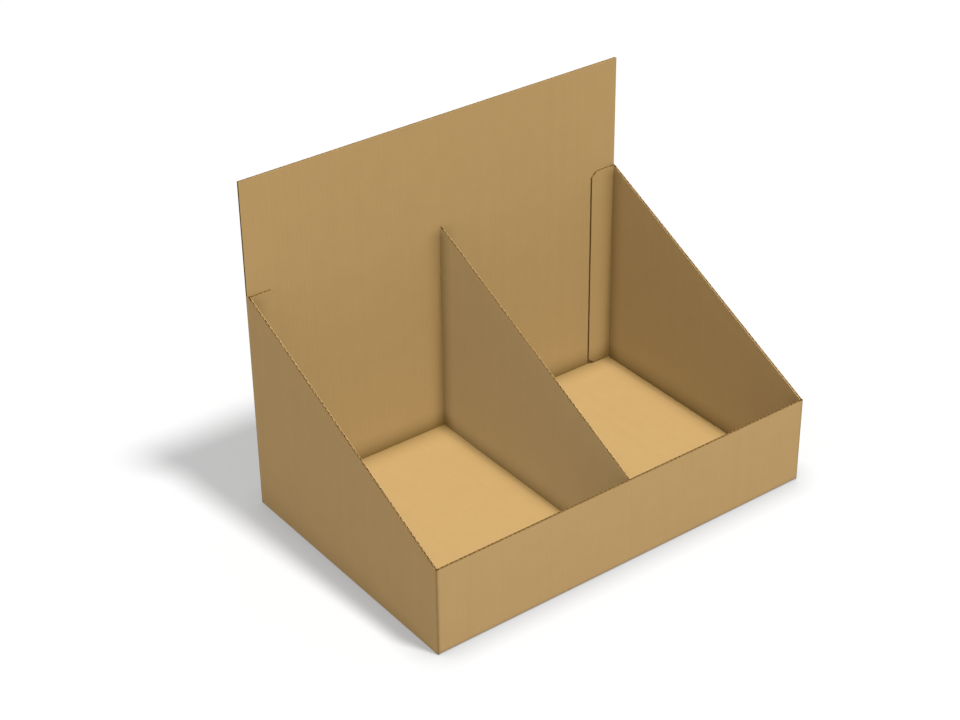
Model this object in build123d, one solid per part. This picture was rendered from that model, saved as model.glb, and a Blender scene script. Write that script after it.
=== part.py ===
from build123d import *
import os

# Counter display stand folded from one sheet of corrugated board, with a loose divider card.
# Millimetres. X runs left to right, the open front faces -Y, Z is up and the base rests on Z = 0.
# The origin is the middle of the footprint on the table.

# Driving dimensions, outside sizes of the folded stand
width = 300.0
depth = 200.0
back_height = 240.0
side_height = 159.0
front_height = 64.0
board = 1.6

# Glue flap at the back of each side panel
flap_reach = 20.8
flap_chamfer = 4.2
flap_lift = 0.8

# Outer radius of the creased corners between the front and the side panels
fold_radius = 0.8

# Clearance of the base's cut edges from the side panels
base_gap = 0.3

# Divider card, its tabs and their slots
divider_end_gap = 0.2
tab_gap = 0.15
base_tab_length = 32.0
back_tab_length = 24.0
base_tab_shares = (0.25, 0.75)
back_tab_shares = (0.22, 0.68)

# How far every cutting tool runs past the board
overrun = 5.0

# Planes that the panels share
side_face = width / 2
side_inner = side_face - board
front_face = -depth / 2
front_inner = front_face + board
back_face = depth / 2
back_inner = back_face - board
flap_inner = back_inner - board
floor = board
base_half = side_inner - base_gap
flap_end = side_face - flap_reach


def block(x_range, y_range, z_range):
    """A box between the given limits along X, Y and Z."""
    size = [high - low for low, high in (x_range, y_range, z_range)]
    middle = [(high + low) / 2 for low, high in (x_range, y_range, z_range)]
    return Pos(*middle) * Box(*size)


def side_outline(points, x_range):
    """An outline drawn in the YZ plane, given as (y, z) points, made solid between two X limits."""
    sketch = Plane.YZ * make_face(Polyline(*points, close=True))
    return Pos(x_range[0], 0, 0) * extrude(sketch, amount=x_range[1] - x_range[0])


def fold_corner(axis_y, turn):
    """What a bend takes off the square corner under a bottom fold: the fold's outer face is an arc
    of one board's radius about the inner crease."""
    outer_y = axis_y + turn * board
    corner = block((-base_half, base_half), sorted((axis_y, outer_y)), (0, floor))
    bend = Pos(0, axis_y, floor) * Rot(0, 90, 0) * Cylinder(board, width)
    return corner - bend


def wall_strip():
    """Flap, side, front, side and flap: one strip that stands on edge and turns four corners."""
    outside = Rectangle(width, back_inner - front_face)
    outside = fillet(outside.vertices().group_by(Axis.Y)[0], fold_radius)
    inside = Rectangle(2 * side_inner, flap_inner - front_inner)
    strip = Pos(0, (front_face + back_inner) / 2, 0) * extrude(outside - inside, amount=side_height)

    # The space between the two flaps
    strip -= block((-flap_end, flap_end), (flap_inner, back_inner), (0, side_height))

    # Sloped tops of the side panels, level over the front lip and over the flaps
    above = [
        (front_face - overrun, front_height),
        (front_inner, front_height),
        (flap_inner, side_height),
        (flap_inner, side_height + overrun),
        (front_face - overrun, side_height + overrun),
    ]
    strip -= side_outline(above, (-side_face - overrun, side_face + overrun))

    # The flaps stop above the floor
    strip -= block((-side_inner, side_inner), (flap_inner, back_inner), (0, floor + flap_lift))

    # Chamfers at both ends of each flap's free edge
    for hand in (-1, 1):
        for level, inward in ((side_height, -1), (floor + flap_lift, 1)):
            corner = [
                (hand * flap_end, level),
                (hand * (flap_end + flap_chamfer), level),
                (hand * flap_end, level + inward * flap_chamfer),
            ]
            cut = extrude(Plane.XZ * make_face(Polyline(*corner, close=True)), amount=-board)
            strip -= Pos(0, flap_inner, 0) * cut
    return strip


def back_panel():
    """The back panel with its header, which closes the rear ends of the side panels across the full width."""
    return block((-side_face, side_face), (back_inner, back_face), (0, back_height))


def tab_spans():
    """Where the divider's tabs lie: along Y under its foot, and along Z behind its back edge."""
    foot = back_inner - front_inner
    base_middles = [front_inner + share * foot for share in base_tab_shares]
    back_middles = [floor + share * (side_height - floor) for share in back_tab_shares]
    base_spans = [(middle - base_tab_length / 2, middle + base_tab_length / 2) for middle in base_middles]
    back_spans = [(middle - back_tab_length / 2, middle + back_tab_length / 2) for middle in back_middles]
    return base_spans, back_spans


def make_display_tray():
    """The one-piece tray: wall strip, base and back panel, with the divider's slots cut through."""
    base = block((-base_half, base_half), (front_inner, back_inner), (0, floor))
    tray = wall_strip() + base + back_panel()
    tray -= fold_corner(front_inner, -1)
    tray -= fold_corner(back_inner, 1)

    slot_half = board / 2 + tab_gap
    base_spans, back_spans = tab_spans()
    for low, high in base_spans:
        tray -= block((-slot_half, slot_half), (low - tab_gap, high + tab_gap), (-overrun, floor))
    for low, high in back_spans:
        tray -= block((-slot_half, slot_half), (back_inner, back_face + overrun), (low - tab_gap, high + tab_gap))
    return tray


def make_divider():
    """A flat card with the side panels' slope, tabs through the base and tabs through the back panel."""
    half = (-board / 2, board / 2)
    rise = (side_height - front_height) / (flap_inner - front_inner)
    front_edge = front_inner + divider_end_gap
    card = [
        (front_edge, floor),
        (back_inner, floor),
        (back_inner, front_height + rise * (back_inner - front_inner)),
        (front_edge, front_height + rise * divider_end_gap),
    ]
    divider = side_outline(card, half)
    base_spans, back_spans = tab_spans()
    for span in base_spans:
        divider += block(half, span, (0, floor))
    for span in back_spans:
        divider += block(half, (back_inner, back_face), span)
    return divider


os.makedirs("parts", exist_ok=True)
export_step(make_display_tray(), "parts/display_tray.step")
export_step(make_divider(), "parts/divider.step")
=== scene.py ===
# %% [markdown]
# # A counter display stand of corrugated board
# The stand is folded from one sheet of brown kraft board, with a divider card slotted into it.
# The solid model gives every panel its place, as a plain slab as thick as the board.
# Here each slab becomes what corrugated board really is: two paper liners with a wavy sheet between.

# %% Load the solid model
import math

import bmesh
import bpy
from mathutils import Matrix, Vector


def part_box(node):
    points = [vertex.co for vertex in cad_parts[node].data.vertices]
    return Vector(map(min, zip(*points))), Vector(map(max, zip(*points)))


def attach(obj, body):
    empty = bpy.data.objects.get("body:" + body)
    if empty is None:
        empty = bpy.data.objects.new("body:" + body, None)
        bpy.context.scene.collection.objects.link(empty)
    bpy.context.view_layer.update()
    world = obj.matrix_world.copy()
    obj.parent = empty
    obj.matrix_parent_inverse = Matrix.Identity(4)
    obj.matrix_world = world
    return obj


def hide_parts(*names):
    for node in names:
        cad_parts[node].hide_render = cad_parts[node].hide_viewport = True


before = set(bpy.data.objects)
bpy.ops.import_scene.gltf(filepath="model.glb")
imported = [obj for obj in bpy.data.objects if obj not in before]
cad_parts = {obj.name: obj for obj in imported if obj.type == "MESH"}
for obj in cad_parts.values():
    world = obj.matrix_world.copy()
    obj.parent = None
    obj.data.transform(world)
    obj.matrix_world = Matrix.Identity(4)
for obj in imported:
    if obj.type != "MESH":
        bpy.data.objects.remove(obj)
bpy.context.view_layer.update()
bpy.ops.object.select_all(action="DESELECT")

# %% [markdown]
# ## The camera
# The photograph looks down on the stand's front left corner through a long lens.
# A camera can be set by eye, by moving it until the corners agree with the photograph.
# Here the angles, the lens and the small shift were solved from the stand's straight edges instead,
# because straight edges give both the direction and the lens with little doubt.

# %% Place the camera
CAMERA_PLACE = (-0.72114, -0.91585, 0.83497)
CAMERA_AZIMUTH = -37.9428
CAMERA_ELEVATION = 31.9691
CAMERA_LENS = 79.779
CAMERA_SHIFT = (-0.04520, -0.00546)
CAMERA_SENSOR = 36
CAMERA_FAR_END = 50

camera_tilt = math.radians(90 - CAMERA_ELEVATION)
bpy.ops.object.camera_add(location=CAMERA_PLACE, rotation=(camera_tilt, 0, math.radians(CAMERA_AZIMUTH)))
camera = bpy.context.object
camera.name = "photo_camera"
camera.data.sensor_width = CAMERA_SENSOR
camera.data.lens = CAMERA_LENS
camera.data.shift_x, camera.data.shift_y = CAMERA_SHIFT
camera.data.clip_end = CAMERA_FAR_END
bpy.context.scene.camera = camera
print("camera lens", camera.data.lens, "mm")

# %% [markdown]
# ## Sizes of the board
# Corrugated board is sold by its flute. This one is fine: its waves are 3.39 mm apart and the board is
# 1.6 mm thick, so the edges show a row of small dark holes. The outer sizes are read from the solid model,
# and the heights of the folds are the same values that the solid model was drawn from.
# All sizes below are in millimetres, and one factor turns them into Blender's metres.

# %% Name the sizes
MM = 0.001
_, tray_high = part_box("display_tray")
half_width = tray_high.x / MM
half_depth = tray_high.y / MM
header_top = tray_high.z / MM
board = 1.6
liner = 0.3
fold_radius = 0.8
flute_pitch = 3.39
front_top = 64.0
side_top = 159.0
header_foot = 159.4
base_half = 148.1
flap_end = 129.2
flap_bottom = 2.4
flap_chamfer = 4.2
slot_half = 0.95
base_slots = ((-65.35, -33.05), (33.05, 65.35))
back_slots = ((24.03, 48.33), (96.45, 120.75))
wall_inner = half_width - board
front_inner = -(half_depth - board)
flap_back = half_depth - board
flap_inner = flap_back - board
slope_rise = (side_top - front_top) / (flap_inner - front_inner)
print("the sides rise", round(slope_rise, 4), "mm for each mm of depth")

# %% [markdown]
# ## Picking edges and faces by their place
# When modelling by hand, edges are clicked. In a script they are picked by where they lie.
# `pick` selects every vertex, edge or face whose corners all pass a test on x, y and z in millimetres.
# `fold_out` extrudes the picked edges, which is how one panel of card grows out of another.
# `slice_faces` cuts the picked faces along a plane, and `drop_faces` throws faces away, as a die cutter does.

# %% Helpers for folding and cutting card
tolerance = 0.01
cut_threshold = 0.000002


def near(value, place):
    return abs(value - place) < tolerance


def open_for_editing(piece):
    bpy.ops.object.select_all(action="DESELECT")
    piece.select_set(True)
    bpy.context.view_layer.objects.active = piece
    bpy.ops.object.mode_set(mode="EDIT")


def pick(piece, kind, test):
    bpy.ops.mesh.select_all(action="DESELECT")
    bpy.ops.mesh.select_mode(type=kind)
    cage = bmesh.from_edit_mesh(piece.data)
    elements = {"VERT": cage.verts, "EDGE": cage.edges, "FACE": cage.faces}[kind]
    chosen = 0
    for element in elements:
        corners = [element] if kind == "VERT" else element.verts
        if all(test(*(corner.co / MM)) for corner in corners):
            element.select_set(True)
            chosen += 1
    bmesh.update_edit_mesh(piece.data)
    return chosen


def fold_out(piece, test, move):
    pick(piece, "EDGE", test)
    step = [distance * MM for distance in move]
    bpy.ops.mesh.extrude_edges_move(TRANSFORM_OT_translate={"value": step})


def slice_faces(piece, test, point, normal):
    if pick(piece, "FACE", test):
        place = [distance * MM for distance in point]
        bpy.ops.mesh.bisect(plane_co=place, plane_no=normal, threshold=cut_threshold)


def drop_faces(piece, test):
    chosen = pick(piece, "FACE", test)
    bpy.ops.mesh.delete(type="FACE")
    return chosen


def flat_sheet(name, size, place, turn):
    bpy.ops.mesh.primitive_plane_add(size=1, location=[value * MM for value in place], rotation=turn)
    sheet = bpy.context.object
    sheet.name = name
    sheet.data.name = name
    sheet.scale = (size[0] * MM, size[1] * MM, 1)
    bpy.ops.object.transform_apply(location=True, rotation=True, scale=True)
    return sheet


print("smallest size told apart:", tolerance, "mm")

# %% [markdown]
# ## Base, front and back of the tray
# On the real stand the base carries the front on one fold and the tall back on the other.
# A box could be added and its faces deleted, but a box has no free edges to fold from.
# So a single plane, the base, is extruded edge by edge, in the order in which the blank is folded.
# Each liner of the board is such a sheet, and `depth` says how far in from the outside it lies.
# The outer liner turns round each fold in an arc, because it has the board's thickness inside it.

# %% Fold the base, the front and the back
fold_segments = 5


def round_folds(sheet, test, radius):
    pick(sheet, "EDGE", test)
    bpy.ops.mesh.bevel(offset=radius * MM, segments=fold_segments, affect="EDGES", clamp_overlap=False)


def fold_bed(name, depth):
    reach = half_depth - depth
    sheet = flat_sheet(name, (2 * base_half, 2 * reach), (0, 0, depth), (math.pi, 0, 0))
    open_for_editing(sheet)
    fold_out(sheet, lambda x, y, z: near(y, -reach), (0, 0, side_top - depth))
    fold_out(sheet, lambda x, y, z: near(y, reach), (0, 0, header_top - depth))
    if depth < board:
        round_folds(sheet, lambda x, y, z: near(abs(y), reach) and near(z, depth), board - depth)
    for side in (-1, 1):
        fold_out(sheet, lambda x, y, z: near(x, side * base_half) and near(y, reach),
                 (side * (half_width - base_half), 0, 0))
    return sheet


outer_sheet = fold_bed("outer_sheet", 0)
bpy.ops.object.mode_set(mode="OBJECT")
inner_sheet = fold_bed("inner_sheet", board)
bpy.ops.object.mode_set(mode="OBJECT")
print("outer sheet so far:", len(outer_sheet.data.polygons), "faces")

# %% [markdown]
# ## Sides and glue flaps
# Each side folds off the front's upright edge, and a narrow flap folds off the side's rear edge.
# The flap is glued to the inside of the back, which is what keeps the tray square.
# The sides are first folded at full height, because one straight cut later gives them all their slope.

# %% Fold the sides and the flaps


def fold_walls(sheet, depth):
    wall = half_width - depth
    front = -(half_depth - depth)
    rear = flap_back - depth
    for side in (-1, 1):
        fold_out(sheet, lambda x, y, z: near(x, side * base_half) and near(y, front),
                 (side * (wall - base_half), 0, 0))
        fold_out(sheet, lambda x, y, z: near(x, side * wall) and near(y, front), (0, rear - front, 0))
        fold_out(sheet, lambda x, y, z: near(x, side * wall) and near(y, rear),
                 (-side * (wall - flap_end), 0, 0))
    pick(sheet, "VERT", lambda x, y, z: near(abs(x), wall) and near(z, board))
    bpy.ops.transform.translate(value=(0, 0, -board * MM))
    if depth < board:
        round_folds(sheet, lambda x, y, z: near(abs(x), wall) and near(y, front), fold_radius)


for sheet, depth in ((outer_sheet, 0), (inner_sheet, board)):
    open_for_editing(sheet)
    fold_walls(sheet, depth)
    bpy.ops.object.mode_set(mode="OBJECT")
print("outer sheet with sides:", len(outer_sheet.data.polygons), "faces")

# %% [markdown]
# ## The die cut
# The cutting die gives the front its low lip, the sides their slope and the flaps their clipped corners.
# A Boolean could cut the folded tray, but it would leave the thin card with ragged triangles.
# Cutting the sheet with planes and deleting what lies beyond them leaves clean edges instead.

# %% Cut the lip, the slopes and the flaps' corners


def slope_height(y):
    return front_top + (y - front_inner) * slope_rise


def on_front(x, y, z):
    return y < front_inner + tolerance


def on_side(x, y, z):
    return abs(x) > wall_inner - tolerance and y > front_inner - tolerance


def cut_walls(sheet, depth):
    rear = flap_back - depth
    slice_faces(sheet, lambda x, y, z: abs(x) > wall_inner - tolerance,
                (0, front_inner, 0), (0, 1, 0))
    slice_faces(sheet, on_front, (0, 0, front_top), (0, 0, 1))
    drop_faces(sheet, lambda x, y, z: on_front(x, y, z) and z > front_top - tolerance)
    slice_faces(sheet, on_side, (0, front_inner, front_top), (0, -slope_rise, 1))
    drop_faces(sheet, lambda x, y, z: on_side(x, y, z) and z > slope_height(y) - tolerance)

    def on_flap(x, y, z):
        return near(y, rear) and abs(x) > flap_end - tolerance

    slice_faces(sheet, on_flap, (0, 0, flap_bottom), (0, 0, 1))
    drop_faces(sheet, lambda x, y, z: on_flap(x, y, z) and z < flap_bottom + tolerance)
    for side in (-1, 1):
        for level, way in ((side_top, 1), (flap_bottom, -1)):
            corner = (side * flap_end, rear, level - way * flap_chamfer)
            slice_faces(sheet, lambda x, y, z: on_flap(x, y, z) and x * side > 0,
                        corner, (-side, 0, way))
            drop_faces(sheet, lambda x, y, z: on_flap(x, y, z) and x * side > 0
                       and (z - level) * way + flap_chamfer > abs(x) - flap_end - tolerance)


for sheet, depth in ((outer_sheet, 0), (inner_sheet, board)):
    open_for_editing(sheet)
    cut_walls(sheet, depth)
    bpy.ops.object.mode_set(mode="OBJECT")
print("outer sheet after the die:", len(outer_sheet.data.polygons), "faces")

# %% [markdown]
# ## Slots for the divider
# Four slots hold the divider's tabs: two through the base and two through the back.
# They are cut in the sheet before it has a thickness, so that thickening it also closes the slots' walls.
# The Solidify modifier can give the new faces other materials than the sheet it starts from, so each sheet
# first gets three: for the faces it starts from, for those on its other side, and for the cut rim.

# %% Cut the slots and give both liners their thickness
outer_paper = bpy.data.materials.new("kraft_outer_liner")
inner_paper = bpy.data.materials.new("kraft_inner_liner")
divider_paper = bpy.data.materials.new("kraft_divider_liner")
# The flute side of each liner is painted shade: dark, as inside the board hardly any light gets in.
hollow_shade_paper = bpy.data.materials.new("kraft_flute_side_painted_shade")
# The two rim papers are painted shade (dark) and painted light (light) on the cut edges.
shaded_edge_paper = bpy.data.materials.new("kraft_rim_painted_shade")
lit_edge_paper = bpy.data.materials.new("kraft_rim_painted_light")
fluting_paper = bpy.data.materials.new("kraft_fluting")
OTHER_SIDE_SLOT, RIM_SLOT, LIT_RIM_SLOT = 1, 2, 3
slot_margin = 1


def cut_slots(sheet, depth):
    reach = half_depth - depth
    panels = ((lambda x, y, z: near(z, depth) and abs(x) < base_half + slot_margin, base_slots, 1),
              (lambda x, y, z: near(y, reach), back_slots, 2))
    for on_panel, spans, axis in panels:
        for edge in (-slot_half, slot_half):
            slice_faces(sheet, on_panel, (edge, 0, 0), (1, 0, 0))
        for end in [end for span in spans for end in span]:
            place = [0, 0, 0]
            place[axis] = end
            slice_faces(sheet, on_panel, place, (0, axis == 1, axis == 2))
        for low, high in spans:
            drop_faces(sheet, lambda x, y, z: on_panel(x, y, z) and abs(x) < slot_half + tolerance
                       and low - tolerance < (x, y, z)[axis] < high + tolerance)


def thicken(sheet, thickness, offset, papers):
    open_for_editing(sheet)
    bpy.ops.object.mode_set(mode="OBJECT")
    for paper_look in papers:
        sheet.data.materials.append(paper_look)
    solid = sheet.modifiers.new("paper", "SOLIDIFY")
    solid.material_offset = OTHER_SIDE_SLOT
    solid.material_offset_rim = RIM_SLOT
    solid.thickness = thickness * MM
    solid.offset = offset
    solid.use_even_offset = True
    solid.use_quality_normals = True
    bpy.ops.object.modifier_apply(modifier=solid.name)


SHEETS = ((outer_sheet, 0, -1, (outer_paper, hollow_shade_paper, shaded_edge_paper)),
          (inner_sheet, board, 1, (hollow_shade_paper, inner_paper, shaded_edge_paper)))
for sheet, depth, way, papers in SHEETS:
    open_for_editing(sheet)
    cut_slots(sheet, depth)
    bpy.ops.object.mode_set(mode="OBJECT")
    thicken(sheet, liner, way, papers)
print("outer liner:", len(outer_sheet.data.polygons), "faces, paper", liner, "mm thick")

# %% [markdown]
# ## Shaded and lit rims
# Some rims of the cut edges are darker than others: the dark ones carry painted shade and the light ones
# painted light. The right slope and the header are light, and on the left slope only the inner rim is.
# Every rim starts with the dark, painted-shade paper. The light ones are found by their place, which is
# quicker than picking faces by hand and still works when a size changes.

# %% Give the lit rims their painted-light paper
header_zone = 1


def paint_lit_rims(sheet, lit_test):
    sheet.data.materials.append(lit_edge_paper)
    changed = 0
    for face in sheet.data.polygons:
        if face.material_index == RIM_SLOT and lit_test(*(face.center / MM)):
            face.material_index = LIT_RIM_SLOT
            changed += 1
    return changed


def on_header_top(x, y, z):
    return z > header_top - header_zone


def outer_rim_is_lit(x, y, z):
    return on_header_top(x, y, z) or (x > wall_inner and y > front_inner)


def inner_rim_is_lit(x, y, z):
    return on_header_top(x, y, z) or (abs(x) > wall_inner and y > front_inner)


print("clean rims:", paint_lit_rims(outer_sheet, outer_rim_is_lit), "outer and",
      paint_lit_rims(inner_sheet, inner_rim_is_lit), "inner faces")

# %% [markdown]
# ## The back's ends
# The cut ends of the back run along the flutes. Beside the tray the cutting rule has pressed them shut, so
# a narrow strip of paper closes them there. Above the sides, the header's ends stay open and look dark.

# %% Close the back's ends and join the liners of the tray
smooth_angle = 35
strip_foot = 0.2


def join_pieces(name, pieces):
    bpy.ops.object.select_all(action="DESELECT")
    for piece in pieces:
        piece.select_set(True)
    bpy.context.view_layer.objects.active = pieces[0]
    if len(pieces) > 1:
        bpy.ops.object.join()
    piece = bpy.context.object
    piece.name = name
    piece.data.name = name
    bpy.ops.object.shade_smooth_by_angle(angle=math.radians(smooth_angle))
    return piece


edge_strips = []
for side in (-1, 1):
    strip = flat_sheet("edge_strip", (header_foot - strip_foot, board - 2 * liner),
                       (side * half_width, half_depth - board / 2, (header_foot + strip_foot) / 2),
                       (0, side * math.pi / 2, 0))
    thicken(strip, liner, -1, (outer_paper, hollow_shade_paper, shaded_edge_paper))
    edge_strips.append(strip)
tray_liners = join_pieces("tray_liners", [outer_sheet, inner_sheet] + edge_strips)
print("tray liners:", len(tray_liners.data.vertices), "vertices")

# %% [markdown]
# ## The divider card
# The divider is a flat card with the same slope as the sides, and with four tabs that sit in the slots.
# It starts as a plane on the card's left face. The foot and the rear edge are cut where a tab begins and
# ends, and only the tabs' lengths of edge are drawn out. The second liner is a copy of the first, mirrored,
# with the light rim paper of painted light instead of the dark one of painted shade.

# %% Cut the divider's first liner and mirror it
divider_low, divider_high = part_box("divider")
divider_front = divider_low.y / MM
divider_rear = half_depth - board
divider_foot = board
divider_top = divider_high.z / MM
base_tabs = ((-65.2, -33.2), (33.2, 65.2))
back_tabs = ((24.18, 48.18), (96.6, 120.6))

divider_height = divider_top - divider_foot
divider_depth = divider_rear - divider_front
divider_middle = (divider_front + divider_rear) / 2


def every_face(x, y, z):
    return True


left_card = flat_sheet("left_card", (divider_height, divider_depth),
                       (-board / 2, divider_middle, divider_foot + divider_height / 2),
                       (0, -math.pi / 2, 0))
open_for_editing(left_card)
slice_faces(left_card, every_face, (0, front_inner, front_top), (0, -slope_rise, 1))
drop_faces(left_card, lambda x, y, z: z > slope_height(y) - tolerance)
for end in [end for span in base_tabs for end in span]:
    slice_faces(left_card, every_face, (0, end, 0), (0, 1, 0))
for end in [end for span in back_tabs for end in span]:
    slice_faces(left_card, every_face, (0, 0, end), (0, 0, 1))
for low, high in base_tabs:
    fold_out(left_card, lambda x, y, z: near(z, divider_foot) and low - tolerance < y < high + tolerance,
             (0, 0, -board))
for low, high in back_tabs:
    fold_out(left_card, lambda x, y, z: near(y, divider_rear) and low - tolerance < z < high + tolerance,
             (0, board, 0))
bpy.ops.object.mode_set(mode="OBJECT")
thicken(left_card, liner, -1, (divider_paper, hollow_shade_paper, shaded_edge_paper))

bpy.ops.object.duplicate()
right_card = bpy.context.object
right_card.data.materials[RIM_SLOT] = lit_edge_paper
right_card.scale.x = -1
bpy.ops.object.transform_apply(location=False, rotation=False, scale=True)
open_for_editing(right_card)
bpy.ops.mesh.select_all(action="SELECT")
bpy.ops.mesh.normals_make_consistent(inside=False)
bpy.ops.object.mode_set(mode="OBJECT")
divider_liners = join_pieces("divider_liners", [left_card, right_card])
print("divider liners:", len(divider_liners.data.vertices), "vertices")

# %% [markdown]
# ## The fluting
# Between the liners runs the fluting, a paper pressed into waves. Its ends and the hollows beside them are
# the dashes on every cut edge that crosses the flutes. One wave is modelled from a narrow grid, whose columns
# are pushed to a sine, and an Array repeats it along a panel. The array keeps the waves evenly spaced,
# as the fluting rolls do. The wave is one metre tall, so that its scale is the height of the panel.

# %% Model one wave
flute_steps = 8
paper = 0.25
glue_gap = 0.02
wave_height = 1
wave_reach = (board - 2 * liner - paper) / 2 - glue_gap

bpy.ops.mesh.primitive_grid_add(x_subdivisions=flute_steps, y_subdivisions=1, size=wave_height,
                                location=(flute_pitch / 2 * MM, 0, wave_height / 2),
                                rotation=(math.pi / 2, 0, 0))
one_wave = bpy.context.object
one_wave.name = "one_wave"
one_wave.scale.x = flute_pitch * MM
bpy.ops.object.transform_apply(location=True, rotation=True, scale=True)
open_for_editing(one_wave)
for step in range(flute_steps + 1):
    column = step * flute_pitch / flute_steps
    pick(one_wave, "VERT", lambda x, y, z: near(x, column))
    height = wave_reach * math.sin(2 * math.pi * step / flute_steps)
    bpy.ops.transform.translate(value=(0, height * MM, 0))
bpy.ops.object.mode_set(mode="OBJECT")
print("one wave:", len(one_wave.data.polygons), "faces,", round(2 * wave_reach, 2), "mm high")

# %% [markdown]
# ## Fluting in the front and the sides
# A run of fluting starts at one end of a panel, is as long as a whole number of waves, and stands between
# the panel's bottom and its top. The sides' runs are cut by the same sloping plane as the liners.
# Every run ends a little inside the cut, so that its ends never lie in one plane with the rims.

# %% Lay the fluting of the front and the sides
edge_back = 0.1
merge_distance = 0.00001
corner_room = 1.2 * board
run_inset = 0.4
quarter = math.pi / 2
middle = board / 2


def run_of_fluting(name, waves, start, height, turn=(0, 0, 0)):
    bpy.ops.object.select_all(action="DESELECT")
    one_wave.select_set(True)
    bpy.context.view_layer.objects.active = one_wave
    bpy.ops.object.duplicate()
    run = bpy.context.object
    run.name = name
    row = run.modifiers.new("row", "ARRAY")
    row.count = waves
    row.use_relative_offset = False
    row.use_constant_offset = True
    row.constant_offset_displace = (flute_pitch * MM, 0, 0)
    row.use_merge_vertices = True
    row.merge_threshold = merge_distance
    bpy.ops.object.modifier_apply(modifier=row.name)
    run.scale.z = height * MM
    run.rotation_euler = turn
    run.location = [value * MM for value in start]
    bpy.ops.object.transform_apply(location=True, rotation=True, scale=True)
    return run


def cut_run(run, point, normal):
    open_for_editing(run)
    bpy.ops.mesh.select_all(action="SELECT")
    bpy.ops.mesh.bisect(plane_co=[value * MM for value in point], plane_no=normal, clear_outer=True,
                        threshold=cut_threshold)
    bpy.ops.object.mode_set(mode="OBJECT")


def whole_waves(length):
    return int(length / flute_pitch)


tray_runs = []
front_waves = whole_waves(2 * (half_width - corner_room))
tray_runs.append(run_of_fluting("front_run", front_waves,
                                (-front_waves * flute_pitch / 2, -half_depth + middle, board),
                                front_top - board - edge_back))
side_waves = whole_waves(flap_inner - front_inner)
for side in (-1, 1):
    start = (side * (half_width - middle), front_inner + run_inset, edge_back)
    run = run_of_fluting("side_run", side_waves, start, side_top, (0, 0, quarter))
    cut_run(run, (0, front_inner, front_top - edge_back), (0, -slope_rise, 1))
    tray_runs.append(run)
print("waves in the front:", front_waves, "and in each side:", side_waves)

# %% [markdown]
# ## Fluting in the flaps, the back and the base
# The flaps' corners are clipped, so the same two planes clip their waves. The back and the base have a run
# on either side of the divider's slots, so that no wave stands in the way of a tab. Above the slots the
# header has one run across its whole width. The base's waves lie flat.

# %% Lay the fluting of the flaps, the back, the header and the base
flap_room = 0.6
slot_inset = 0.3
slot_room = 0.5
header_room = 1
header_gap = 0.5


def first_wave(side, inner_end, waves):
    return inner_end if side > 0 else -inner_end - waves * flute_pitch


flap_waves = whole_waves(wall_inner - flap_end - flap_room)
for side in (-1, 1):
    start = first_wave(side, flap_end + run_inset, flap_waves)
    run = run_of_fluting("flap_run", flap_waves, (start, flap_back - middle, flap_bottom + edge_back),
                         side_top - flap_bottom - 2 * edge_back)
    for level, way in ((side_top, 1), (flap_bottom, -1)):
        corner = (side * flap_end, 0, level - way * (flap_chamfer + edge_back))
        cut_run(run, corner, (-side, 0, way))
    tray_runs.append(run)

half_waves = whole_waves(base_half - slot_half - slot_room)
for side in (-1, 1):
    start = first_wave(side, slot_half + slot_inset, half_waves)
    tray_runs.append(run_of_fluting("back_run", half_waves, (start, half_depth - middle, board),
                                    header_foot - board))
    tray_runs.append(run_of_fluting("base_run", half_waves, (start, half_depth - board, middle),
                                    2 * (half_depth - board), (quarter, 0, 0)))
header_waves = whole_waves(2 * half_width - header_room)
header_start = (-header_waves * flute_pitch / 2, half_depth - middle, header_foot + header_gap)
tray_runs.append(run_of_fluting("header_run", header_waves, header_start,
                                header_top - header_foot - header_gap - edge_back))
print("waves in the header:", header_waves)

# %% [markdown]
# ## Fluting in the divider
# The divider's waves run up and down, as those of the sides do, and the same slope cuts them.
# Until here each run is a sheet without thickness. Solidify gives all of them the thickness of their paper,
# which is less work than modelling both faces of every wave.

# %% Lay the divider's fluting, and give all fluting its paper thickness
divider_inset = 0.3
divider_room = 0.6
divider_waves = whole_waves(divider_depth - divider_room)
divider_start = (0, divider_front + divider_inset, divider_foot + edge_back)
divider_run = run_of_fluting("divider_run", divider_waves, divider_start, divider_height, (0, 0, quarter))
cut_run(divider_run, (0, front_inner, front_top - edge_back), (0, -slope_rise, 1))
for run in tray_runs + [divider_run]:
    thicken(run, paper, 0, (fluting_paper,))
tray_fluting = join_pieces("tray_fluting", tray_runs)
divider_fluting = join_pieces("divider_fluting", [divider_run])
bpy.data.objects.remove(one_wave)
print("fluting faces:", len(tray_fluting.data.polygons), "and", len(divider_fluting.data.polygons))

# %% [markdown]
# ## Kraft paper
# Kraft paper is brown because its pulp isn't bleached. Close by it shows short fibres, light and dark specks
# and, on corrugated board, faint lines along the fluting behind it.
# Every paper of the board has the fibres, so that pattern is a node group that each material places with
# its own values. It reads Object coordinates, so the pattern keeps its scale on every panel.

# %% Helpers for node groups
COLOUR_A, COLOUR_B, COLOUR_RESULT = 6, 7, 2
FLOAT_A, FLOAT_B, FLOAT_RESULT = 2, 3, 0


def add_node(tree, kind, **settings):
    node = tree.nodes.new(kind)
    for name, value in settings.items():
        setattr(node, name, value)
    return node


def math_node(tree, operation, first, second=None, third=None):
    node = add_node(tree, "ShaderNodeMath", operation=operation)
    for index, value in enumerate((first, second, third)):
        if value is None:
            continue
        if isinstance(value, (int, float)):
            node.inputs[index].default_value = value
        else:
            tree.links.new(value, node.inputs[index])
    return node.outputs[0]


def new_group(name, inputs, outputs):
    group = bpy.data.node_groups.new(name, "ShaderNodeTree")
    for label, kind in inputs:
        group.interface.new_socket(name=label, in_out="INPUT", socket_type="NodeSocket" + kind)
    for label in outputs:
        group.interface.new_socket(name=label, in_out="OUTPUT", socket_type="NodeSocketFloat")
    return group, add_node(group, "NodeGroupInput"), add_node(group, "NodeGroupOutput")


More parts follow.
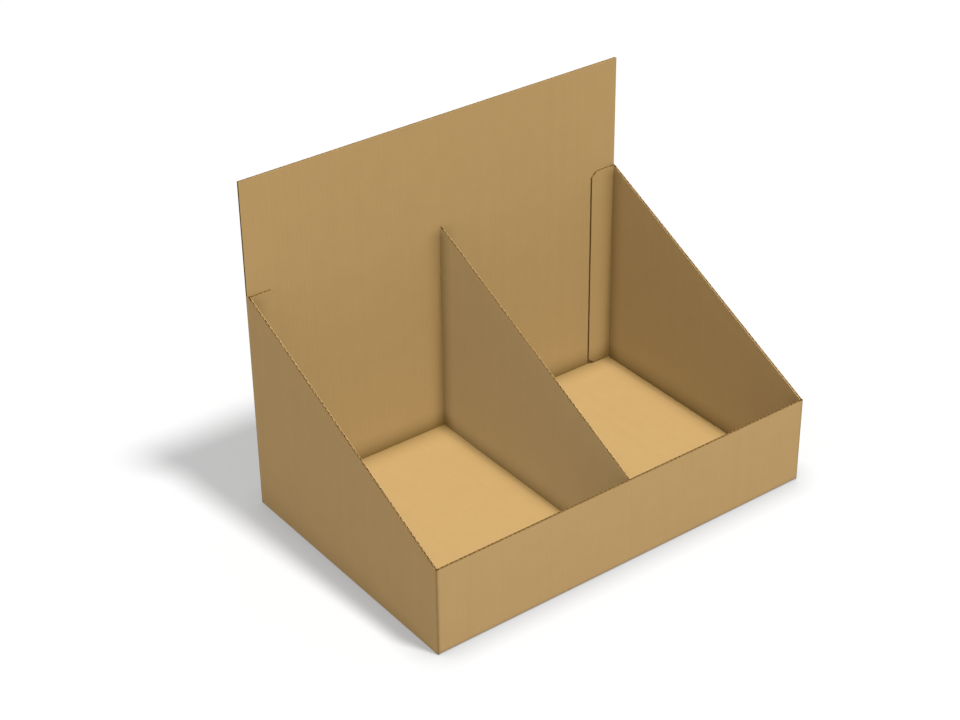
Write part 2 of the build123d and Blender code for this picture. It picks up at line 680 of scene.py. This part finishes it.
def noise(tree, vector, scale, detail):
    node = add_node(tree, "ShaderNodeTexNoise")
    node.inputs["Scale"].default_value = scale
    node.inputs["Detail"].default_value = detail
    tree.links.new(vector, node.inputs["Vector"])
    return node.outputs["Fac"]


print("node helpers ready")

# %% [markdown]
# ## Fibres and specks
# Fibres lie in every direction. A noise stretched along each axis in turn gives short streaks on every panel,
# a broad noise gives clouds, and the peaks of a fine one give dark specks. A photograph of paper could do
# the same, but the panels would have to be unwrapped, and it would show where it repeats.

# %% Build the fibre group
FIBRE_SCALE, FIBRE_DETAIL = 2600, 3
CLOUD_SCALE, CLOUD_DETAIL = 60, 4
SPECK_SCALE, SPECK_DETAIL = 1400, 2
ACROSS_FIBRE = 0.16
FIBRE_TURN = (0.35, 0.25, 0.4)
FIBRE_SHARE, CLOUD_SHARE = 0.6, 0.4
SPECK_START, SPECK_GAIN = 0.66, 6

fibre_group, fibre_in, fibre_out = new_group("kraft_fibre", [("Position", "Vector")],
                                             ["Tone", "Speck", "Height"])
fibre_place = fibre_in.outputs["Position"]
stretched = []
for axis in range(3):
    mapping = add_node(fibre_group, "ShaderNodeMapping")
    mapping.inputs["Scale"].default_value = [1 if index == axis else ACROSS_FIBRE for index in range(3)]
    mapping.inputs["Rotation"].default_value = FIBRE_TURN
    fibre_group.links.new(fibre_place, mapping.inputs["Vector"])
    stretched.append(noise(fibre_group, mapping.outputs["Vector"], FIBRE_SCALE, FIBRE_DETAIL))
first_two = math_node(fibre_group, "MAXIMUM", stretched[0], stretched[1])
fibres = math_node(fibre_group, "MAXIMUM", first_two, stretched[2])
cloud = noise(fibre_group, fibre_place, CLOUD_SCALE, CLOUD_DETAIL)
specks = noise(fibre_group, fibre_place, SPECK_SCALE, SPECK_DETAIL)
peaks = math_node(fibre_group, "SUBTRACT", specks, SPECK_START)
dark_specks = math_node(fibre_group, "MULTIPLY", peaks, SPECK_GAIN)
cloud_part = math_node(fibre_group, "MULTIPLY", cloud, CLOUD_SHARE)
fibre_tone = math_node(fibre_group, "MULTIPLY_ADD", fibres, FIBRE_SHARE, cloud_part)
speck_mask = math_node(fibre_group, "MINIMUM", math_node(fibre_group, "MAXIMUM", dark_specks, 0), 1)
fibre_group.links.new(fibre_tone, fibre_out.inputs["Tone"])
fibre_group.links.new(speck_mask, fibre_out.inputs["Speck"])
fibre_group.links.new(fibres, fibre_out.inputs["Height"])
print("fibre group:", len(fibre_group.nodes), "nodes")

# %% [markdown]
# ## Flute lines
# The liner sinks a little between the waves of the fluting, which leaves fine lines along the flutes.
# On the front, the back and the base the waves follow x, and on the sides and the divider they follow y,
# so the group looks at which way the surface faces. Modelled hollows would be too shallow to see,
# so a pattern that follows the true pitch takes their place: it bumps the liner, and it paints the hollows'
# shade into the colour.

# %% Build the flute line group
SIDEWAYS_FROM = 0.5
STREAK_SCALE, STREAK_DETAIL = 0.5, 5
line_inputs = [("Position", "Vector"), ("Normal", "Vector"), ("Pitch", "Float")]
line_group, line_in, line_out = new_group("flute_lines", line_inputs, ["Ridge", "Streak"])
place = add_node(line_group, "ShaderNodeSeparateXYZ")
facing = add_node(line_group, "ShaderNodeSeparateXYZ")
line_group.links.new(line_in.outputs["Position"], place.inputs[0])
line_group.links.new(line_in.outputs["Normal"], facing.inputs[0])
faces_x = math_node(line_group, "ABSOLUTE", facing.outputs["X"])
sideways = math_node(line_group, "GREATER_THAN", faces_x, SIDEWAYS_FROM)
not_sideways = math_node(line_group, "SUBTRACT", 1, sideways)
part_y = math_node(line_group, "MULTIPLY", place.outputs["Y"], sideways)
part_x = math_node(line_group, "MULTIPLY", place.outputs["X"], not_sideways)
across = math_node(line_group, "ADD", part_x, part_y)
turns = math_node(line_group, "DIVIDE", across, line_in.outputs["Pitch"])
ridge = math_node(line_group, "SINE", math_node(line_group, "MULTIPLY", turns, 2 * math.pi))
streak = add_node(line_group, "ShaderNodeTexNoise", noise_dimensions="1D")
streak.inputs["Scale"].default_value = STREAK_SCALE
streak.inputs["Detail"].default_value = STREAK_DETAIL
line_group.links.new(turns, streak.inputs["W"])
line_group.links.new(math_node(line_group, "MULTIPLY_ADD", ridge, 0.5, 0.5), line_out.inputs["Ridge"])
line_group.links.new(streak.outputs["Fac"], line_out.inputs["Streak"])
print("flute line group:", len(line_group.nodes), "nodes")

# %% [markdown]
# ## Crease lines and painted shade
# Folding bruises the paper along the crease. The same marks also paint the shade that falls into the inside
# corners of the tray and at the feet of the front and the back.
# This group measures how far a point lies from a fold's or a corner's line and fades the mark with that
# distance.
# The stand is the same on the left and the right, so the group mirrors x and each line is given once.

# %% Build the group for crease lines and painted shade
crease_shade_inputs = [("Position", "Vector"), ("Line", "Vector"), ("Across", "Vector"), ("Width", "Float"),
               ("Top", "Float")]
crease_and_shade_group, crease_shade_entry, crease_shade_exit = new_group("crease_and_shade_mark", crease_shade_inputs, ["Mark"])
mirrored = add_node(crease_and_shade_group, "ShaderNodeVectorMath", operation="ABSOLUTE")
crease_and_shade_group.links.new(crease_shade_entry.outputs["Position"], mirrored.inputs[0])
given = add_node(crease_and_shade_group, "ShaderNodeSeparateXYZ")
folded = add_node(crease_and_shade_group, "ShaderNodeSeparateXYZ")
whole = add_node(crease_and_shade_group, "ShaderNodeCombineXYZ")
crease_and_shade_group.links.new(crease_shade_entry.outputs["Position"], given.inputs[0])
crease_and_shade_group.links.new(mirrored.outputs[0], folded.inputs[0])
crease_and_shade_group.links.new(folded.outputs["X"], whole.inputs["X"])
crease_and_shade_group.links.new(given.outputs["Y"], whole.inputs["Y"])
crease_and_shade_group.links.new(given.outputs["Z"], whole.inputs["Z"])
offset = add_node(crease_and_shade_group, "ShaderNodeVectorMath", operation="SUBTRACT")
crease_and_shade_group.links.new(whole.outputs[0], offset.inputs[0])
crease_and_shade_group.links.new(crease_shade_entry.outputs["Line"], offset.inputs[1])
masked = add_node(crease_and_shade_group, "ShaderNodeVectorMath", operation="MULTIPLY")
crease_and_shade_group.links.new(offset.outputs[0], masked.inputs[0])
crease_and_shade_group.links.new(crease_shade_entry.outputs["Across"], masked.inputs[1])
above = add_node(crease_and_shade_group, "ShaderNodeCombineXYZ")
over = math_node(crease_and_shade_group, "SUBTRACT", given.outputs["Z"], crease_shade_entry.outputs["Top"])
crease_and_shade_group.links.new(math_node(crease_and_shade_group, "MAXIMUM", over, 0), above.inputs["Z"])
apart = add_node(crease_and_shade_group, "ShaderNodeVectorMath", operation="ADD")
crease_and_shade_group.links.new(masked.outputs[0], apart.inputs[0])
crease_and_shade_group.links.new(above.outputs[0], apart.inputs[1])
length = add_node(crease_and_shade_group, "ShaderNodeVectorMath", operation="LENGTH")
crease_and_shade_group.links.new(apart.outputs[0], length.inputs[0])
share = math_node(crease_and_shade_group, "DIVIDE", length.outputs["Value"], crease_shade_entry.outputs["Width"])
fade = add_node(crease_and_shade_group, "ShaderNodeMath", operation="SUBTRACT", use_clamp=True)
fade.inputs[0].default_value = 1
crease_and_shade_group.links.new(share, fade.inputs[1])
crease_and_shade_group.links.new(fade.outputs[0], crease_shade_exit.inputs["Mark"])
print("fold mark group:", len(crease_and_shade_group.nodes), "nodes")

# %% [markdown]
# ## The paper of the liners
# Paper is matt: nearly all of its look is in the base colour, with a high roughness that varies a little.
# The bump is very low, because fibres stand out by hundredths of a millimetre. The outside, the inside and
# the divider are one kind of paper in slightly different tones. Light that the board throws on itself is
# toned down by a plainer brown for diffuse rays, so that the inside doesn't take on too much of its colour.

# %% Helpers for paper
SPECULAR_LEVEL = 0.12
ROUGHNESS_LEAST, ROUGHNESS_SPREAD = 0.72, 0.2
BUMP_DISTANCE = 0.0001
BOUNCE_BROWN = (0.260, 0.200, 0.120, 1)
SPECK_DARK = (0.300, 0.180, 0.065, 1)


def place_group(tree, group, links=(), **values):
    node = add_node(tree, "ShaderNodeGroup", node_tree=group)
    for source, label in links:
        tree.links.new(source, node.inputs[label])
    for label, value in values.items():
        node.inputs[label].default_value = value
    return node


def tint(tree, colour, factor, other, strength):
    mix = add_node(tree, "ShaderNodeMix", data_type="RGBA")
    tree.links.new(math_node(tree, "MULTIPLY", factor, strength), mix.inputs[0])
    if isinstance(colour, tuple):
        mix.inputs[COLOUR_A].default_value = colour
    else:
        tree.links.new(colour, mix.inputs[COLOUR_A])
    mix.inputs[COLOUR_B].default_value = other
    return mix.outputs[COLOUR_RESULT]


def start_paper(material):
    material.use_nodes = True
    tree = material.node_tree
    shader = tree.nodes["Principled BSDF"]
    shader.inputs["Specular IOR Level"].default_value = SPECULAR_LEVEL
    position = add_node(tree, "ShaderNodeTexCoord")
    fibre = place_group(tree, fibre_group, [(position.outputs["Object"], "Position")])
    return tree, shader, position, fibre


def finish_paper(tree, shader, colour, height, tone, bump_strength):
    path = add_node(tree, "ShaderNodeLightPath")
    colour = tint(tree, colour, path.outputs["Is Diffuse Ray"], BOUNCE_BROWN, 1.0)
    tree.links.new(colour, shader.inputs["Base Color"])
    roughness = math_node(tree, "MULTIPLY_ADD", tone, ROUGHNESS_SPREAD, ROUGHNESS_LEAST)
    tree.links.new(roughness, shader.inputs["Roughness"])
    bump = add_node(tree, "ShaderNodeBump")
    bump.inputs["Strength"].default_value = bump_strength
    bump.inputs["Distance"].default_value = BUMP_DISTANCE
    tree.links.new(height, bump.inputs["Height"])
    tree.links.new(bump.outputs["Normal"], shader.inputs["Normal"])


print("paper helpers ready, bounce colour", BOUNCE_BROWN[:3])

# %% [markdown]
# ## Tones and marks of the liners
# Each liner has a light and a dark tone, which the fibres mix. Outside, the upright front folds are narrow
# dark crease lines, and the feet of the front and the back get a narrow band of painted shade.
# Inside, wide soft marks are painted shade in the corners, because the fill lamps cast no shadow there.

# %% Name the tones and the marks of the liners
OUTER_LIGHT = (0.622, 0.408, 0.178, 1)
OUTER_DARK = (0.488, 0.309, 0.126, 1)
INNER_LIGHT = (0.600, 0.394, 0.165, 1)
INNER_DARK = (0.470, 0.297, 0.115, 1)
DIVIDER_LIGHT = (0.715, 0.500, 0.232, 1)
DIVIDER_DARK = (0.560, 0.374, 0.166, 1)
CREASE_AND_FOOT_SHADE_DARK = (0.190, 0.112, 0.042, 1)
CORNER_SHADE_DARK = (0.190, 0.114, 0.026, 1)
CORNER_SHADE_ON_LEVEL = 0.68

upright, along_x, along_y = (1, 1, 0), (0, 1, 1), (1, 0, 1)
no_top = 1000
below_rim = 8
wall_end, front_end = side_top - below_rim, front_top - below_rim

# Each mark has a point on its line, the axes it is measured across, its width, its strength and its top.
# The upright mark is a dark crease line on the front folds.
outer_creases_and_foot_shade = [((half_width, -half_depth, 0), upright, 2.4, 0.95, no_top),
               # The two marks along x are painted shade at the feet of the front and the back.
               ((0, -half_depth, 0), along_x, 5, 0.3, no_top),
               ((0, half_depth, 0), along_x, 5, 0.3, no_top)]
# The inner marks are painted shade in the inside corners of the tray and of the divider.
inner_corner_shade = [((wall_inner, flap_inner, 0), upright, 15, 0.60, wall_end),
               ((0, flap_back, 0), upright, 15, 0.60, wall_end),
               ((wall_inner, front_inner, 0), upright, 15, 0.46, front_end),
               ((0, front_inner, 0), upright, 14, 0.44, front_end),
               ((0, flap_back, board), along_x, 18, 0.88, no_top),
               ((0, front_inner, board), along_x, 18, 0.88, no_top),
               ((wall_inner, 0, board), along_y, 16, 0.80, no_top),
               ((0, 0, board), along_y, 16, 0.65, no_top)]
print("marks outside:", len(outer_creases_and_foot_shade), "and inside:", len(inner_corner_shade))

# %% Build the liners
FIBRE_TINT, STREAK_TINT, RIDGE_SHADE_TINT, SPECK_TINT = 0.75, 0.25, 0.10, 0.35
RIDGE_HEIGHT = 0.4
LINER_BUMP = 0.35


def build_liner(material, light, dark, marks, mark_colour, on_level):
    tree, shader, position, fibre = start_paper(material)
    lines = place_group(tree, line_group, [(position.outputs["Object"], "Position"),
                                           (position.outputs["Normal"], "Normal")],
                        Pitch=flute_pitch * MM)
    colour = tint(tree, light, fibre.outputs["Tone"], dark, FIBRE_TINT)
    colour = tint(tree, colour, lines.outputs["Streak"], dark, STREAK_TINT)
    # The ridge darkens the colour at the flute pitch: painted shade of the hollows between the waves.
    colour = tint(tree, colour, lines.outputs["Ridge"], dark, RIDGE_SHADE_TINT)
    colour = tint(tree, colour, fibre.outputs["Speck"], SPECK_DARK, SPECK_TINT)
    facing = add_node(tree, "ShaderNodeSeparateXYZ")
    tree.links.new(position.outputs["Normal"], facing.inputs[0])
    level = math_node(tree, "ABSOLUTE", facing.outputs["Z"])
    kept = math_node(tree, "MULTIPLY_ADD", level, on_level - 1, 1)
    for line, across, width, strength, top in marks:
        mark = place_group(tree, crease_and_shade_group, [(position.outputs["Object"], "Position")],
                           Line=[value * MM for value in line], Across=across,
                           Width=width * MM, Top=top * MM)
        soft = math_node(tree, "MULTIPLY", math_node(tree, "POWER", mark.outputs["Mark"], 2), kept)
        colour = tint(tree, colour, soft, mark_colour, strength)
    height = math_node(tree, "MULTIPLY_ADD", lines.outputs["Ridge"], RIDGE_HEIGHT, fibre.outputs["Height"])
    finish_paper(tree, shader, colour, height, fibre.outputs["Tone"], LINER_BUMP)


# The outer liner gets dark crease lines and painted shade at its feet; the inner liner and the divider get
# painted shade in their corners.
build_liner(outer_paper, OUTER_LIGHT, OUTER_DARK, outer_creases_and_foot_shade, CREASE_AND_FOOT_SHADE_DARK, 1)
build_liner(inner_paper, INNER_LIGHT, INNER_DARK, inner_corner_shade, CORNER_SHADE_DARK, CORNER_SHADE_ON_LEVEL)
build_liner(divider_paper, DIVIDER_LIGHT, DIVIDER_DARK, inner_corner_shade, CORNER_SHADE_DARK, CORNER_SHADE_ON_LEVEL)
print("liners:", outer_paper.name, inner_paper.name, divider_paper.name)

# %% [markdown]
# ## The papers of the cut edges
# A cut shows the inside of the board: the rims of the liners, the ends of the waves and the hollows between.
# The rims are two papers, a dark one of painted shade and a light one of painted light, the fluting is a
# third one, and the fourth, darkest one is painted shade that lines the hollows, where hardly any light gets
# in.

# %% Build the papers of the cut edges
ROUGH_TINT, ROUGH_SPECK_TINT, ROUGH_BUMP = 1.0, 0.4, 0.5
ROUGH_PAPERS = ((shaded_edge_paper, (0.220, 0.118, 0.030, 1), (0.160, 0.085, 0.020, 1)),
                (lit_edge_paper, (0.600, 0.400, 0.185, 1), (0.480, 0.312, 0.136, 1)),
                (fluting_paper, (0.480, 0.305, 0.120, 1), (0.370, 0.228, 0.086, 1)),
                (hollow_shade_paper, (0.170, 0.098, 0.032, 1), (0.120, 0.070, 0.022, 1)))


def build_rough_paper(material, light, dark):
    tree, shader, position, fibre = start_paper(material)
    colour = tint(tree, light, fibre.outputs["Tone"], dark, ROUGH_TINT)
    colour = tint(tree, colour, fibre.outputs["Speck"], SPECK_DARK, ROUGH_SPECK_TINT)
    finish_paper(tree, shader, colour, fibre.outputs["Height"], fibre.outputs["Tone"], ROUGH_BUMP)


for paper_look, light, dark in ROUGH_PAPERS:
    build_rough_paper(paper_look, light, dark)
print("cut edges:", [paper_look.name for paper_look, light, dark in ROUGH_PAPERS])

# %% [markdown]
# ## The pieces on the solid model
# The liners take the place of the solid slabs, and the fluting is added to them. Nothing on the stand moves,
# so all four pieces ride on its one body.

# %% Set the pieces on the solid model
for piece, node in ((tray_liners, "display_tray"), (tray_fluting, None),
                    (divider_liners, "divider"), (divider_fluting, None)):
    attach(piece, "root")
    if node:
        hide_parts(node)
    print(piece.name, "triangles:", sum(len(face.vertices) - 2 for face in piece.data.polygons))

# %% [markdown]
# ## Floor and light
# The photograph has a white ground with a soft shadow to the left and a thin dark line under the card.
# The floor is a large plane, made white by its lamp and by a faint glow that only the camera and mirrors see.
# Close to the stand an Ambient Occlusion node darkens its colour, a painted contact shadow, and it throws
# less light back than it seems to, so that the sides don't light up from below.

# %% Lay the floor
FLOOR_SIZE = 12
FLOOR_DROP = 0.0002
FLOOR_SEEN = (0.55, 0.55, 0.55, 1)
FLOOR_THROWN_BACK = (0.30, 0.30, 0.30, 1)
FLOOR_GLOW = 0.30
CONTACT_REACH, CONTACT_STRENGTH, CONTACT_SAMPLES = 0.02, 0.8, 16
BLACK, WHITE = (0.0, 0.0, 0.0, 1), (1, 1, 1, 1)


def background_rays(tree):
    path = add_node(tree, "ShaderNodeLightPath")
    mirrored = math_node(tree, "MAXIMUM", path.outputs["Is Glossy Ray"], path.outputs["Is Transmission Ray"])
    return math_node(tree, "MAXIMUM", path.outputs["Is Camera Ray"], mirrored)


bpy.ops.mesh.primitive_plane_add(size=FLOOR_SIZE, location=(0, 0, -FLOOR_DROP))
floor = bpy.context.object
floor.name = "studio_floor"
floor_look = bpy.data.materials.new("studio_floor")
floor_look.use_nodes = True
tree = floor_look.node_tree
shader = tree.nodes["Principled BSDF"]
shader.inputs["Roughness"].default_value = 1
shader.inputs["Specular IOR Level"].default_value = 0
seen_directly = background_rays(tree)
# The Ambient Occlusion node paints a contact shadow into the floor's colour near the stand.
nearness = add_node(tree, "ShaderNodeAmbientOcclusion", samples=CONTACT_SAMPLES)
nearness.inputs["Distance"].default_value = CONTACT_REACH
painted_contact_shadow = math_node(tree, "SUBTRACT", 1, nearness.outputs["AO"])
seen = tint(tree, FLOOR_SEEN, painted_contact_shadow, BLACK, CONTACT_STRENGTH)
thrown_back = add_node(tree, "ShaderNodeMix", data_type="RGBA")
tree.links.new(seen_directly, thrown_back.inputs[0])
thrown_back.inputs[COLOUR_A].default_value = FLOOR_THROWN_BACK
tree.links.new(seen, thrown_back.inputs[COLOUR_B])
tree.links.new(thrown_back.outputs[COLOUR_RESULT], shader.inputs["Base Color"])
shader.inputs["Emission Color"].default_value = WHITE
glow = math_node(tree, "MULTIPLY", seen_directly, FLOOR_GLOW)
tree.links.new(glow, shader.inputs["Emission Strength"])
floor.data.materials.append(floor_look)
print("floor", floor.dimensions.x, "m wide")

# %% [markdown]
# ## Lamps
# One high sun lights only the stand and a second one only the floor, because in the photograph the shadow
# falls in another direction than the panels' shading suggests. Three low suns fill the sides. They cast no
# shadow and are as small as a point, so that they stay even inside the tray. The world is a weak fill, and
# only what the camera and mirrors see of it is white.

# %% Hang the lamps
LAMP_HEIGHT = 2


def receivers(name, pieces):
    group = bpy.data.collections.new(name)
    for piece in pieces:
        group.objects.link(piece)
    return group


def sun(name, azimuth, elevation, strength, angle, shadow, group):
    bpy.ops.object.light_add(type="SUN", location=(0, 0, LAMP_HEIGHT))
    lamp = bpy.context.object
    lamp.name = name
    lamp.rotation_euler = (math.radians(90 - elevation), 0, math.radians(azimuth))
    lamp.data.energy = strength
    lamp.data.angle = math.radians(angle)
    lamp.data.use_shadow = shadow
    if group:
        lamp.light_linking.receiver_collection = group


on_floor = receivers("on_floor", [floor])
on_stand = receivers("on_stand", [tray_liners, tray_fluting, divider_liners, divider_fluting])

# Each lamp has a name, azimuth, elevation, strength, angle across, shadow and what it lights.
LAMPS = (("key_lamp", 0, 70, 3.25, 7, True, on_stand),
         ("floor_lamp", 23.5, 66, 2.92, 9, True, on_floor),
         ("front_lamp", 0, 15, 0.66, 0, False, None),
         ("left_lamp", -90, 15, 0.79, 0, False, None),
         ("rear_lamp", 125, 20, 0.95, 0, False, None))
for lamp_row in LAMPS:
    sun(*lamp_row)

# %% Set the world
WORLD_LIGHT, WORLD_SEEN = 0.23, 1.0
world = bpy.context.scene.world or bpy.data.worlds.new("studio")
bpy.context.scene.world = world
world.use_nodes = True
tree = world.node_tree
ground = tree.nodes["Background"]
mix = add_node(tree, "ShaderNodeMix", data_type="FLOAT")
tree.links.new(background_rays(tree), mix.inputs[0])
mix.inputs[FLOAT_A].default_value = WORLD_LIGHT
mix.inputs[FLOAT_B].default_value = WORLD_SEEN
ground.inputs["Color"].default_value = WHITE
tree.links.new(mix.outputs[FLOAT_RESULT], ground.inputs["Strength"])
bpy.context.scene.view_settings.view_transform = "Standard"
print("world light:", WORLD_LIGHT)
